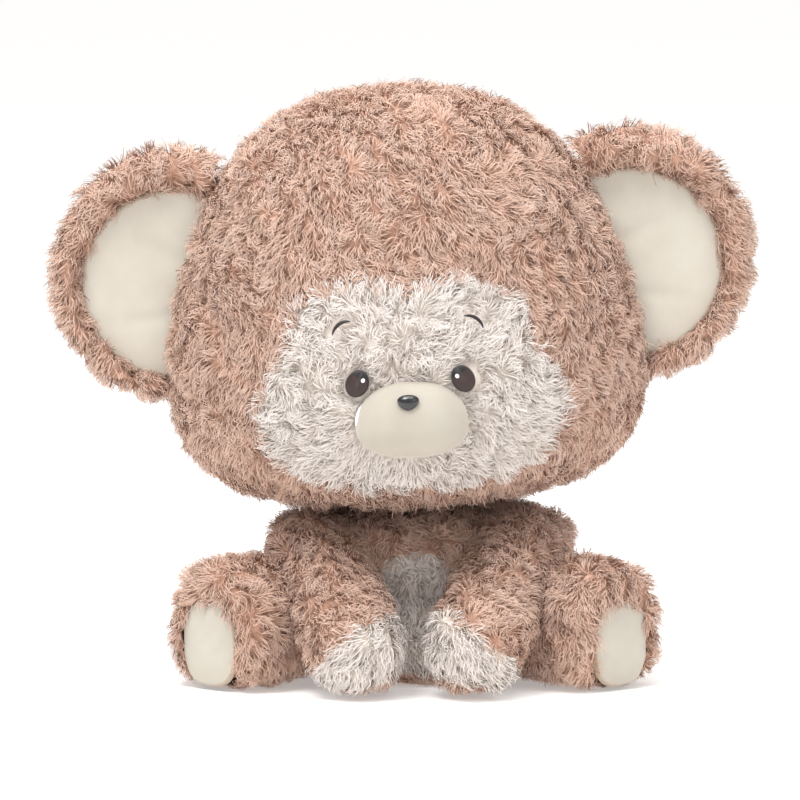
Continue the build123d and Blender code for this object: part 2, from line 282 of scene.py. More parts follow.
legSize = {
    "hip": (60.0, -20.0, 31.6), "length": 64.5, "rise": 0.6,
    "splay": 42.0,                               # degrees out from straight ahead
    "rootRadius": 30.0, "footRadius": 32.2, "round": 10.0,
    "calf": 3.0,                                 # the swell between root and foot
    "soleDrop": 8.5, "soleHalf": (17.6, 21.6),   # the sole's middle lies this far under the leg's
    "puff": 2.6,                                 # the sole's middle stands this far out
}
splay = math.radians(legSize["splay"])


def legForm(turn, rise, inset=pileRoot):
    # a round root, a full calf, a widening side and a flat foot with a round edge
    root, foot = legSize["rootRadius"] - inset, legSize["footRadius"] - inset
    end, corner = legSize["length"] - inset * 0.7, legSize["round"]
    low = np.radians(np.linspace(-90, -15, 16))
    edge = np.radians(np.linspace(0, 90, 10))
    radii = np.concatenate([root * np.cos(low), foot - corner + corner * np.cos(edge), [0]])
    heights = np.concatenate([root * np.sin(low), end - corner + corner * np.sin(edge), [end]])
    length = legSize["length"]
    reach = np.array([math.sin(splay) * length, -math.cos(splay) * length, legSize["rise"]])
    local = alongLine(radii, heights, turn, rise)
    # a fuller calf, and a squarer lower half where the leg settles on the floor
    ring = np.maximum(np.hypot(local[:, 0], local[:, 1]), 1e-6)
    swell = np.sin(np.pi * np.clip(local[:, 2] / end, 0, 1)) * (local[:, 2] < end - 1) / np.maximum(ring, 8)
    corner = np.where(local[:, 1] < 0, 1 / squircle(local[:, 0] / ring, local[:, 1] / ring), 1.0)
    local[:, :2] *= ((1 + legSize["calf"] * swell) * corner)[:, None]
    return placedAlong(local, legSize["hip"], reach)


tailSize = {"root": (0.0, 54.0, 12.2), "radius": 12.0, "straight": 14.0, "bendRadius": 24.0, "bend": 115.0}


def tailForm(turn, rise, inset=3.6):
    # a round tube carried along a straight and then an arc, with its ends drawn in like a ball
    radius, bendRadius = tailSize["radius"] - inset, tailSize["bendRadius"]
    bend = math.radians(tailSize["bend"])
    length = tailSize["straight"] + bendRadius * bend
    s = -radius + rise * (length + 2 * radius)
    past = np.maximum(np.maximum(-s, s - length), 0) / radius
    ring = radius * np.sqrt(np.maximum(1 - past ** 2, 0))
    angle = np.clip(s - tailSize["straight"], 0, length) / bendRadius
    x = bendRadius * (1 - np.cos(angle))
    y = np.minimum(s, tailSize["straight"]) + bendRadius * np.sin(angle)
    over = np.maximum(s - length, 0)
    x = np.where(s > length, bendRadius * (1 - math.cos(bend)) + over * math.sin(bend), x)
    y = np.where(s > length, tailSize["straight"] + bendRadius * math.sin(bend) + over * math.cos(bend), y)
    heading = np.clip(angle, 0, bend)
    sideX, sideY = np.cos(heading), -np.sin(heading)
    turnAngle = -2 * math.pi * turn
    across, up = ring * np.cos(turnAngle), ring * np.sin(turnAngle)
    return np.stack([x + across * sideX, y + across * sideY, up], -1) + np.asarray(tailSize["root"])


earSize = {
    "center": (111.8, 3.0, 206.3), "radius": 65.5,
    "lean": 13.2,            # degrees of the ear's own up from the toy's
    "backDepth": 9.0, "rimHeight": 6.5,
    "liningRadius": 48.5, "liningDrop": 5.5, "liningHeight": 2.5,
    "cut": -9.0,             # the ear starts this far inside its middle, at the head's side
    "blend": (0.012, 0.004),  # metres before and after the fold line over which the cloth bends
}


def earPlaced(u, v, w, side):
    # ear coordinates (out from the head, up, forward) to the toy's frame
    lean = math.radians(earSize["lean"])
    cx, cy, cz = earSize["center"]
    x = cx + u * math.cos(lean) - v * math.sin(lean)
    z = cz + u * math.sin(lean) + v * math.cos(lean)
    return tilted(np.stack([side * x, cy - w, z], -1))


def earBackForm(side):
    def form(turn, rise):
        # a shallow dome behind a circle: depth falls from the middle to the edge as a quarter ellipse
        radius = (earSize["radius"] - pileRoot) * rise
        angle = 2 * math.pi * turn * side
        depth = earSize["backDepth"] * np.sqrt(np.maximum(1 - rise ** 2, 0))
        return earPlaced(radius * np.cos(angle), radius * np.sin(angle), -depth, side)
    return form


def earRimForm(side):
    def form(turn, rise):
        # a rounded ring from the lining's seam (rise 0) out to the ear's edge (rise 1)
        angle = 2 * math.pi * turn * -side
        outer = earSize["radius"] - pileRoot
        drop = earSize["liningDrop"]
        inner = -drop * np.sin(angle) + np.sqrt(earSize["liningRadius"] ** 2 - (drop * np.cos(angle)) ** 2)
        radius = inner + (outer - inner) * rise
        height = earSize["liningHeight"] * (1 - rise) + earSize["rimHeight"] * np.sin(math.pi * rise) ** 0.8
        return earPlaced(radius * np.cos(angle), radius * np.sin(angle), height, side)
    return form


def mirroredForm(form, side):
    # the right-hand form for side 1; for side -1 its mirror image, run the other way round to face outwards
    def made(turn, rise):
        points = form(turn * side, rise)
        return points * (side, 1, 1)
    return made


furSettings = {
    "density": 1.18,     # strands to a square millimetre
    "pile": 5.4,         # how far the fibres stand off the cloth
    "sweep": 6.2,        # how far they lie over
    "stray": 0.34,       # how far a strand turns from its neighbours' lie, in radians
    "width": 0.38,       # of one strand, which stands for a few finer fibres
    "lump": 1.6,         # half the height of the soft lumps
    "crease": 1.8,       # depth of the partings between the lumps
    "deepest": -2.1,     # the cloth never lies deeper than this, so that it stays over the filling
    "backingCell": 2.6,  # of the backing cloth's grid
}


def creases(points):
    # partings: narrow bands where a smooth noise crosses zero, broken up by a second noise
    band = np.exp(-(wave(points, 30, 71) / 0.16) ** 2)
    other = np.exp(-(wave(points, 24, 73) / 0.15) ** 2)
    where = np.clip(wave(points, 34, 72) * 1.6 + 0.55, 0, 1)
    return np.maximum(band * where, other * (1 - where))


def lumpy(form, fur):
    # the form with soft lumps added along its outward normal and the partings cut in
    def made(turn, rise):
        points = form(turn, rise)
        _, _, normal = tangents(form, turn, np.clip(rise, 0.004, 0.996))
        height = fur["lump"] * (wave(points, 15, 41) + 0.2) - fur["crease"] * creases(points)
        height = np.maximum(height, fur["deepest"])
        return points + normal * height[:, None]
    return made


def scattered(form, fur, key):
    # strand roots spread evenly by area: rise follows the area's running total and turn is random
    t, r = np.meshgrid((np.arange(48) + 0.5) / 48, np.linspace(0, 1, 161), indexing="ij")
    grid = form(t.ravel(), r.ravel()).reshape(48, 161, 3)
    ring = np.linalg.norm(np.roll(grid, -1, 0) - grid, axis=-1).sum(0)
    step = np.linalg.norm(np.diff(grid, axis=1), axis=-1).mean(0)
    running = np.concatenate([[0], np.cumsum((ring[1:] + ring[:-1]) / 2 * step)])
    dice = np.random.default_rng(seed + key)
    count = int(running[-1] * fur["density"])
    place = (np.arange(count) + dice.uniform(0, 1, count)) / count
    rise = np.clip(np.interp(place * running[-1], running, np.linspace(0, 1, 161)), 0.002, 0.998)
    turn = dice.uniform(0, 1, count)
    plain = form(turn, rise)
    surface = lumpy(form, fur)
    _, _, normal = tangents(surface, turn, rise)
    return {"plain": plain, "root": surface(turn, rise), "normal": normal}


def growFur(roots, fur, key, keep=None, shape=None, flow=None):
    # strands: each rises as 1-(1-t)^2, dips at its end, and runs along a flow that turns slowly
    chosen = keep(roots["plain"]) if keep is not None else np.ones(len(roots["plain"]), bool)
    plain, root, normal = (roots[part][chosen] for part in ("plain", "root", "normal"))
    dice = np.random.default_rng(seed + key + 1)
    count = len(plain)
    drift = np.stack([wave(plain, 44, 11 + i) for i in range(3)], -1)
    local = np.stack([wave(plain, 11, 15 + i) for i in range(3)], -1)
    lie = drift * 0.6 + local * 0.7 + np.array([0.2, 0, -0.7])
    if flow is not None:
        lie = lie + flow(plain)
    lie = unit(lie - normal * (lie * normal).sum(-1, keepdims=True))
    across = np.cross(normal, lie)
    swing = dice.normal(size=count) * fur["stray"] + 0.35 * wave(plain, 4.5, 19)
    ahead = lie * np.cos(swing)[:, None] + across * np.sin(swing)[:, None]
    aside = across * np.cos(swing)[:, None] - lie * np.sin(swing)[:, None]
    parting = creases(plain)
    height = fur["pile"] * (1 + 0.12 * wave(plain, 6, 21) + dice.normal(size=count) * 0.13)
    height = height * (1 - 0.35 * parting)
    height = height * np.where(dice.uniform(size=count) < 0.04, 1.3, 1.0)
    sweep = fur["sweep"] * (1 + dice.normal(size=count) * 0.18)
    if shape is not None:
        factor = shape(plain)
        height, sweep = height * factor, sweep * (0.4 + 0.6 * factor)
    curl = dice.normal(size=count) * 0.5 + 0.9 * wave(plain, 8, 23)
    gather = np.stack([wave(plain, 5.0, 24 + i) for i in range(3)], -1) * 0.9
    line = []
    for t in (0.0, 0.33, 0.7, 1.0):
        up = height * (1 - (1 - t) ** 2.0 - 0.38 * t ** 3)
        point = root + normal * up[:, None] + ahead * (sweep * t ** 1.15)[:, None]
        line.append(point + aside * (curl * math.sin(math.pi * t * 1.1))[:, None] + gather * t ** 1.5)
    line = np.stack(line, 1)
    line[..., 2] = np.maximum(line[..., 2], 0.35 + dice.uniform(0, 0.5, (count, 1)))
    along = unit(np.gradient(line, axis=1))
    side = unit(np.cross(along, normal[:, None, :]) + 1e-6)
    twist = (dice.normal(size=count) * 0.4)[:, None, None]
    lift = np.cross(side, along)
    side = side * np.cos(twist) + lift * np.sin(twist)
    taper = np.array([1.0, 1.0, 0.75, 0.0])[None, :, None]
    width = fur["width"] * dice.uniform(0.7, 1.25, (count, 1, 1)) * taper
    left, right = line - side * width / 2, line + side * width / 2
    points = np.concatenate([np.stack([left[:, :3], right[:, :3]], 2).reshape(count, 6, 3), line[:, 3:]], 1)
    ribbon = np.cross(side, along)
    soft = unit(normal[:, None, :] * 0.84 + ribbon * 0.16)
    normals = np.concatenate([np.repeat(soft[:, :3], 2, 1), soft[:, 3:]], 1)
    toneAndShade = 0.5 + 0.11 * wave(plain, 28, 31) + 0.07 * wave(plain, 6, 32) + dice.normal(size=count) * 0.07
    # the partings are painted darker as well: painted shade where the real shade between the lumps falls, on
    # top of the tone that differs at random
    toneAndShade = np.clip(toneAndShade - 0.4 * parting, 0.03, 0.97)
    u = toneAndShade[:, None] + np.array([-1, 1, -1, 1, -1, 1, 0]) * 0.004
    v = np.broadcast_to(np.array([0.0, 0.0, 0.33, 0.33, 0.7, 0.7, 0.995]) + 0.002, u.shape)
    first = np.arange(count)[:, None] * 7
    corners = (first + np.array([0, 1, 3, 2, 2, 3, 5, 4, 4, 5, 6])).ravel()
    return (points.reshape(-1, 3), np.stack([u, v], -1).reshape(-1, 2), normals.reshape(-1, 3), corners,
            np.tile([4, 4, 3], count))


def backing(form, fur, keep=None):
    # the lumpy form on a grid, kept only where its panel is
    girth = np.linalg.norm(np.diff(form(np.linspace(0, 1, 25), np.full(25, 0.5)), axis=0), axis=1).sum()
    length = np.linalg.norm(np.diff(form(np.zeros(60), np.linspace(0, 1, 60)), axis=0), axis=1).sum()
    columns, rows = max(int(girth / fur["backingCell"]), 16), max(int(length / fur["backingCell"]), 8)
    r, t = np.meshgrid(np.linspace(0, 1, rows), np.arange(columns) / columns, indexing="ij")
    turn, rise = t.ravel(), r.ravel()
    surface = lumpy(form, fur)
    points = surface(turn, rise)
    points[:, 2] = np.maximum(points[:, 2], 0.3)
    _, _, normal = tangents(surface, turn, np.clip(rise, 0.004, 0.996))
    quads = gridCorners(rows, columns, True)
    if keep is not None:
        quads = quads[keep(form(turn, rise)[quads].mean(1))]
    # the cloth under the pile takes the ramps' dark root end and is painted darker in the partings: both are
    # painted shade
    toneAndShade = 0.42 + 0.1 * wave(points, 9, 51) - 0.3 * creases(points)
    uv = np.stack([toneAndShade, 0.14 + 0.05 * wave(points, 7, 52)], -1)
    return points, uv, normal, quads.ravel(), np.full(len(quads), 4)


def joined(parts):
    # several (points, uv, normals, corners, sizes) sets as one
    starts = np.cumsum([0] + [len(part[0]) for part in parts])
    columns = list(zip(*parts))
    columns[3] = [corners + start for corners, start in zip(columns[3], starts)]
    return [np.concatenate(column) for column in columns]


counts = []


def furPiece(name, form, material, key, body, slot, nodes, keep=None, cover=None, fur=None, roots=None,
             **how):
    # a skin panel: its cloth and its strands in one mesh; keep is where strands grow, cover is the cloth
    fur = {**furSettings, **(fur or {})}
    roots = roots or scattered(form, fur, key)
    parts = [backing(form, fur, cover or keep), growFur(roots, fur, key, keep, **how)]
    points, uv, normals, corners, sizes = joined(parts)
    piece = buildMesh(name, points, corners, sizes, uv, material, normals=normals)
    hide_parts(*nodes)
    if body:
        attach(piece, body)
    counts.append(int((sizes - 2).sum()))
    print(name, counts[-1], "triangles")
    return piece


def furMaterial(name, darkStops, lightStops, sheenTint):
    # polyester fur: dull fine fibres with a soft bright edge; along each strand the colour runs from dark at
    # the root to pale at the tip, and the dark root end is painted shade, standing in for the shade deep in
    # the pile between the tufts
    material, tree, shader = newMaterial(name)
    where = addNode(tree, "ShaderNodeUVMap", {"uv_map": "strand"})
    parts = addNode(tree, "ShaderNodeSeparateXYZ", links={"Vector": where.outputs["UV"]})
    ramps = []
    for stops in (darkStops, lightStops):
        ramp = addNode(tree, "ShaderNodeValToRGB", links={"Fac": parts.outputs["Y"]})
        rampStops(ramp, stops)
        ramps.append(ramp.outputs["Color"])
    mix = addNode(tree, "ShaderNodeMix", {"data_type": "RGBA"},
                  {"Factor": parts.outputs["X"], "A": ramps[0], "B": ramps[1]})
    tree.links.new(mix.outputs["Result"], shader.inputs["Base Color"])
    setInputs(shader, {"Roughness": 0.82, "IOR": 1.45, "Specular IOR Level": 0.25, "Sheen Weight": 0.35,
                       "Sheen Roughness": 0.5, "Sheen Tint": linear(sheenTint)})
    return material


# the stops run from the strand's root (0) to its tip (1): the darker root colours are painted shade deep in
# the pile
brownFur = furMaterial("brownPolyesterFur",
                       [(0.0, "#a97e67"), (0.3, "#c59b85"), (0.7, "#d4ad98"), (1.0, "#d9b29e")],
                       [(0.0, "#c19984"), (0.3, "#d6b6a4"), (0.7, "#e2cbbd"), (1.0, "#e9d4c8")], "#f0dccf")
creamFur = furMaterial("creamPolyesterFur",
                       [(0.0, "#ccbdb1"), (0.3, "#e0d5cb"), (0.7, "#e9dfd8"), (1.0, "#eee6df")],
                       [(0.0, "#dfd5cc"), (0.3, "#ece4de"), (0.7, "#f4eeea"), (1.0, "#faf6f2")], "#fff8f2")


def velboaMaterial(name, base, shade, seam="#a98f76"):
    # velboa: a knit with a nap under 2 mm, smooth and matt to the eye, with a pale edge where light grazes it
    material, tree, shader = newMaterial(name)
    where = addNode(tree, "ShaderNodeTexCoord")
    cloud = addNode(tree, "ShaderNodeTexNoise", {"Scale": 55.0, "Detail": 3.0},
                    {"Vector": where.outputs["Object"]})
    mix = addNode(tree, "ShaderNodeMix", {"data_type": "RGBA", "A": linear(base), "B": linear(shade)})
    spread = addNode(tree, "ShaderNodeMapRange", {"From Min": 0.35, "From Max": 0.7},
                     {"Value": cloud.outputs["Fac"]})
    tree.links.new(spread.outputs["Result"], mix.inputs["Factor"])
    # the sewn edge: the tint attribute mixes a darker seam colour in along it
    tint = addNode(tree, "ShaderNodeAttribute", {"attribute_name": "tint"})
    edge = addNode(tree, "ShaderNodeMix", {"data_type": "RGBA", "B": linear(seam)},
                   {"Factor": tint.outputs["Fac"], "A": mix.outputs["Result"]})
    tree.links.new(edge.outputs["Result"], shader.inputs["Base Color"])
    # the nap is about 0.3 mm from fibre to fibre, drawn at 0.6 mm so that it shows
    nap = addNode(tree, "ShaderNodeTexNoise", {"Scale": 1600.0, "Detail": 2.0},
                  {"Vector": where.outputs["Object"]})
    bump = addNode(tree, "ShaderNodeBump", {"Strength": 0.25, "Distance": 0.0003},
                   {"Height": nap.outputs["Fac"]})
    tree.links.new(bump.outputs["Normal"], shader.inputs["Normal"])
    setInputs(shader, {"Roughness": 0.9, "Specular IOR Level": 0.2, "Sheen Weight": 0.45,
                       "Sheen Roughness": 0.4, "Sheen Tint": linear("#fffaf0")})
    return material


creamVelboa = velboaMaterial("creamVelboa", "#cbc6ba", "#c5bfb3")
muzzleShadedVelboa = velboaMaterial("muzzleShadedVelboa", "#b8b1a5", "#b2aa9e")     # the linings' knit, darkened as painted shade: it stands in for the shade the muzzle takes under these lights
# the linings' knit again, darkened as painted shade: it stands in for the shade the soles take under these
# lights
soleShadedVelboa = velboaMaterial("soleShadedVelboa", "#c1bbaf", "#bab3a7")


def threadMaterial(name, stops):
    # rayon embroidery thread: a satin stitch whose rows shine along their length
    material, tree, shader = newMaterial(name)
    tint = addNode(tree, "ShaderNodeAttribute", {"attribute_name": "tint"})
    ramp = addNode(tree, "ShaderNodeValToRGB", links={"Fac": tint.outputs["Fac"]})
    rampStops(ramp, stops)
    tree.links.new(ramp.outputs["Color"], shader.inputs["Base Color"])
    setInputs(shader, {"Roughness": 0.42, "Specular IOR Level": 0.5, "Sheen Weight": 0.15})
    return material


eyeThread = threadMaterial("brownBlackRayonThread",
                           [(0.0, "#0e0809"), (0.3, "#150c0c"), (0.42, "#2c1716"), (0.7, "#3d2220"),
                            (0.8, "#f2f0ee"), (1.0, "#ffffff")])


def plainMaterial(name, colour, roughness, coat=0.0, sheen=0.0):
    # one colour that clouds a fifth darker: a coat makes moulded plastic glossy, a sheen softens fibre
    material, tree, shader = newMaterial(name)
    where = addNode(tree, "ShaderNodeTexCoord")
    cloud = addNode(tree, "ShaderNodeTexNoise", {"Scale": 300.0, "Detail": 3.0},
                    {"Vector": where.outputs["Object"]})
    shade = tuple(c * 0.8 for c in linear(colour)[:3]) + (1.0,)
    mix = addNode(tree, "ShaderNodeMix", {"data_type": "RGBA", "A": linear(colour), "B": shade},
                  {"Factor": cloud.outputs["Fac"]})
    tree.links.new(mix.outputs["Result"], shader.inputs["Base Color"])
    setInputs(shader, {"Roughness": roughness, "Coat Weight": coat, "Coat Roughness": 0.05,
                       "Sheen Weight": sheen})
    return material


nosePlastic = plainMaterial("blackMouldedPlastic", "#141519", 0.22, coat=0.6)
washerPlastic = plainMaterial("whiteNylon", "#e8e8e4", 0.5)
fibreFill = plainMaterial("polyesterFibrefill", "#f2f2f0", 0.95, sheen=0.5)
bagCloth = plainMaterial("wovenPelletBag", "#eae8e0", 0.9, sheen=0.2)
labelSatin = plainMaterial("whiteSatinRibbon", "#f4f4f2", 0.45, sheen=0.3)


faceSize = {
    # half outline of the pale patch, x and height on the head before it leans
    "outline": [(0, 202.5), (32, 208.5), (58, 196), (63, 174), (80, 145), (73, 119), (42, 103), (0, 101)],
    "center": (0.0, 152.0), "overhang": 5.0,
    "eye": (25.9, 156.3), "eyeHalf": (5.7, 7.0), "brow": (29.0, 179.0), "browRadius": 8.0, "shift": 1.7,
    "muzzle": (0.0, -92.0, 137.5), "muzzleHalf": (27.4, 22.0, 18.8),
}


def headForm(turn, rise):
    return tilted(headLocal(turn, rise, pileRoot))


def untilted(points):
    return turnedAbout(points, neckPoint, (0, 1, 0), headSize["tilt"])


def onFace(points):
    # the face's own place on the head: a touch to the right of its middle
    return untilted(points) - (faceSize["shift"], 0, 0)


def insideFace(x, z):
    # whether a point is nearer the patch's centre than the outline is that way, less the fur's overhang
    half = faceSize["outline"]
    outline = np.array(half + [(-px, pz) for px, pz in reversed(half[1:-1])], float)
    cx, cz = faceSize["center"]
    angle = np.arctan2(outline[:, 1] - cz, outline[:, 0] - cx)
    distance = np.hypot(outline[:, 0] - cx, outline[:, 1] - cz)
    order = np.argsort(angle)
    angle, distance = angle[order], distance[order]
    angle = np.concatenate([angle - 2 * math.pi, angle, angle + 2 * math.pi])
    distance = np.tile(distance, 3)
    edge = np.interp(np.arctan2(z - cz, x - cx), angle, distance)
    return np.hypot(x - cx, z - cz) < edge - faceSize["overhang"]


def topShape(points):
    # longer pile on the shoulders, where it meets the head
    return 1 + 0.45 * np.clip((points[:, 2] - 72) / 8, 0, 1)


def headPanel(points):
    # which panel a point of the head belongs to
    local = untilted(points)
    x, y, z = local.T
    front = y < headSize["y"]
    face = front & insideFace(x - faceSize["shift"], z)
    sideways = np.abs(x) > headSize["gusset"]
    names = np.where(front, np.where(z < headSize["chinSeam"], "chin", "crownFront"),
                     np.where(z < headSize["napeSeam"], "nape", "crownBack"))
    names = np.where(sideways, np.where(x > 0, "sideRight", "sideLeft"), names)
    return np.where(face, "face", names)


def clearOfEars(points):
    # no fur grows where an ear is sewn on
    x, y, z = untilted(points).T
    lean = math.radians(earSize["lean"])
    cx, cy, cz = earSize["center"]
    up = -(np.abs(x) - cx) * math.sin(lean) + (z - cz) * math.cos(lean)
    return ~((np.abs(y - cy) < 6.5) & (np.abs(up + 6) < 50) & (np.abs(x) > 70))


def clearOfFace(points):
    # the pile is cut away at the eyes, brows and muzzle
    x, y, z = onFace(points).T
    ex, ez = faceSize["eye"]
    eyeX, eyeZ = faceSize["eyeHalf"]
    eye = np.hypot((np.abs(x) - ex) / (eyeX + 1.6), (z - ez) / (eyeZ + 1.6)) < 1
    bx, bz = faceSize["brow"]
    arc = np.degrees(np.arctan2(z - bz, np.abs(x) - bx))
    brow = (np.abs(np.hypot(np.abs(x) - bx, z - bz) - faceSize["browRadius"]) < 2.6) & (arc > 0) & (arc < 108)
    mx, my, mz = faceSize["muzzle"]
    halfX, _, halfZ = faceSize["muzzleHalf"]
    muzzle = np.hypot((x - mx) / (halfX - 2), (z - mz) / (halfZ - 2)) < 1
    return ~(eye | brow | muzzle)


def faceShape(points):
    # shorter pile round the eyes, brows and muzzle
    x, y, z = onFace(points).T
    ex, ez = faceSize["eye"]
    eye = np.hypot(np.abs(x) - ex, z - ez)
    bx, bz = faceSize["brow"]
    brow = np.hypot(np.abs(x) - bx - 3, z - bz - 5)
    mx, my, mz = faceSize["muzzle"]
    muzzle = np.hypot((x - mx) / 28.0, (z - mz) / 19.0)
    near = np.minimum(np.clip((eye - 6) / 10, 0, 1), np.clip((brow - 4) / 9, 0, 1))
    near = np.minimum(near, np.clip((muzzle - 0.95) / 0.35, 0, 1))
    return 0.55 + 0.5 * near


def faceFlow(points):
    # the pile lies outwards from the muzzle
    x, y, z = onFace(points).T
    mx, my, mz = faceSize["muzzle"]
    away = np.stack([x - mx, np.zeros_like(x), (z - mz) * 0.8 + 14], -1)
    return unit(away) * 0.8 + (0, 0, 0.35)


def seamShape(points):
    # the pile parts and sinks at the crown's two seams, and hangs longer under the head
    x, y, z = untilted(points).T
    under = 0.45 * np.clip((104 - z) / 10, 0, 1)
    return 1 + under - 0.3 * np.exp(-((np.abs(x) - headSize["gusset"]) / 3.5) ** 2)


headPieces = [
    ("crownFrontFur", "crownFront", ["crown_panel"]), ("crownBackFur", "crownBack", ["crown_panel"]),
    ("napeFur", "nape", ["nape_panel"]), ("chinFur", "chin", ["chin_panel"]),
    ("sideRightFur", "sideRight", ["head_side_right"]), ("sideLeftFur", "sideLeft", ["head_side_left"]),
]
headRoots = scattered(headForm, furSettings, 100)
for name, panel, nodes in headPieces:
    furPiece(name, headForm, brownFur, 100, "head", "brown_fur", nodes, roots=headRoots,
             keep=lambda p, panel=panel: (headPanel(p) == panel) & clearOfEars(p),
             cover=lambda p, panel=panel: headPanel(p) == panel, shape=seamShape)
furPiece("faceFur", headForm, creamFur, 100, "head", "cream_fur", ["face_patch"],
         keep=lambda p: (headPanel(p) == "face") & clearOfFace(p), cover=lambda p: headPanel(p) == "face",
         shape=faceShape, flow=faceFlow, roots=headRoots)
print("head fur done")

for side, word in ((1, "right"), (-1, "left")):
    def outOfHead(points, side=side):
        x, y, z = untilted(points).T
        lean = math.radians(earSize["lean"])
        cx, cy, cz = earSize["center"]
        out = (side * x - cx) * math.cos(lean) + (z - cz) * math.sin(lean)
        return out > earSize["cut"]

    def outwardFlow(points, side=side):
        # away from the ear's middle
        middle = earPlaced(np.array([0.0]), np.array([0.0]), np.array([0.0]), side)
        return unit(points - middle) * 0.9
    for name, form, nodes, key in (("earBackFur_", earBackForm(side), ["ear_back_", "ear_batting_"], 300),
                                   ("earRimFur_", earRimForm(side), ["ear_rim_"], 320)):
        piece = furPiece(name + word, form, brownFur, key + side, None, "brown_fur",
                         [node + word for node in nodes], keep=outOfHead, flow=outwardFlow)
        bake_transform(piece)

    # the lining: a disc that dips a little, with soft folds running out from the head
    def liningPoint(turn, rise):
        angle = 2 * math.pi * turn
        radius = earSize["liningRadius"] * rise
        u, v = radius * np.cos(angle), radius * np.sin(angle) - earSize["liningDrop"]
        fold = 0.9 * np.exp(-((v - 6 - 0.25 * u) / 5) ** 2) * np.exp(-((u - 6) / 26) ** 2)
        fold = fold + 0.6 * np.exp(-((v + 22 + 0.35 * u) / 4) ** 2) * np.exp(-((u - 4) / 20) ** 2)
        w = earSize["liningHeight"] + 0.8 - 1.6 * (1 - rise ** 2)
        w = w - 2.2 * np.clip((rise - 0.94) / 0.06, 0, 1) ** 2 - fold
        return earPlaced(u, v, w, side)
    rows, columns = 46, 120
    r, t = roundGrid(rows, columns, 0.001)
    points = liningPoint(t * side, r)
    quads = gridCorners(rows, columns, True)
    quads = quads[outOfHead(points[quads].mean(1))][:, ::-1]
    seamTint = np.clip((r - 0.93) / 0.05, 0, 1) * 0.55
    piece = quadPiece("earLining_" + word, points, quads, creamVelboa, seamTint)
    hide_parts("ear_lining_" + word)
    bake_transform(piece)
print("ears done")

def muzzlePoint(turn, rise):
    # an ellipsoid with squared shoulders, a little narrower above
    angle, fall = 2 * math.pi * turn, math.pi / 2 * rise
    square = (np.abs(np.cos(angle)) ** 2.3 + np.abs(np.sin(angle)) ** 2.3) ** (-1 / 2.3)
    x = faceSize["muzzleHalf"][0] * np.sin(fall) * np.cos(angle) * square
    z = faceSize["muzzleHalf"][2] * np.sin(fall) * np.sin(angle) * square
    x = x * (1 - 0.09 * z / faceSize["muzzleHalf"][2])
    y = -faceSize["muzzleHalf"][1] * np.cos(fall) ** 0.85
    cx, cy, cz = faceSize["muzzle"]
    return tilted(np.stack([x + cx + faceSize["shift"], y + cy, z + cz], -1))


rows, columns = 90, 120
r, t = roundGrid(rows, columns)
muzzleTint = np.exp(-((r - 0.86) / 0.012) ** 2) * (np.sin(2 * math.pi * t) > 0.1) * 0.45
muzzle = quadPiece("muzzleCloth", muzzlePoint(t, r), gridCorners(rows, columns, True)[:, ::-1], muzzleShadedVelboa,
                   muzzleTint)
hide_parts("muzzle_cover")
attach(muzzle, "head")


noseSize = {"center": (0.3, -112.0, 147.8), "half": (5.2, 3.3, 3.9), "widening": 0.28}


def noseDome(turn, rise):
    # a rounded triangle, wider at its top, as a ball whose width shrinks downwards
    angle, fall = 2 * math.pi * turn, math.pi * rise
    halfX, halfY, halfZ = noseSize["half"]
    z = halfZ * np.sin(fall) * np.sin(angle)
    x = halfX * np.sin(fall) * np.cos(angle) * (1 + noseSize["widening"] * z / halfZ)
    y = -halfY * np.cos(fall)
    return tilted(np.stack([x, y, z], -1) + noseSize["center"])


rows, columns = 32, 48
r, t = roundGrid(rows, columns)
nose = quadPiece("nosePlasticDome", noseDome(t, r), gridCorners(rows, columns, True)[:, ::-1], nosePlastic)
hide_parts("nose")
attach(nose, "head")


def faceDepth(x, z, lift):
    # the y of the head's front at x and height z, lifted off the surface
    t = np.linspace(0.0, 1, 400)
    outline = pulled(headSize["pulls"], t)
    start = int(outline[:, 0].argmax()) // 2
    radius = np.interp(z - headSize["bottom"], outline[start:, 1], outline[start:, 0])
    return headSize["y"] - headSize["depthShare"] * np.sqrt(np.maximum(radius ** 2 - x ** 2, 0)) - lift


def stitched(name, x, z, lift, tint, quads, node, side):
    points = tilted(np.stack([x * side + faceSize["shift"], faceDepth(x, z, lift), z], -1))
    if side < 0:
        quads = quads[:, ::-1]
    piece = quadPiece(name, points, quads, eyeThread, tint)
    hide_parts(node)
    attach(piece, "head")
    return piece


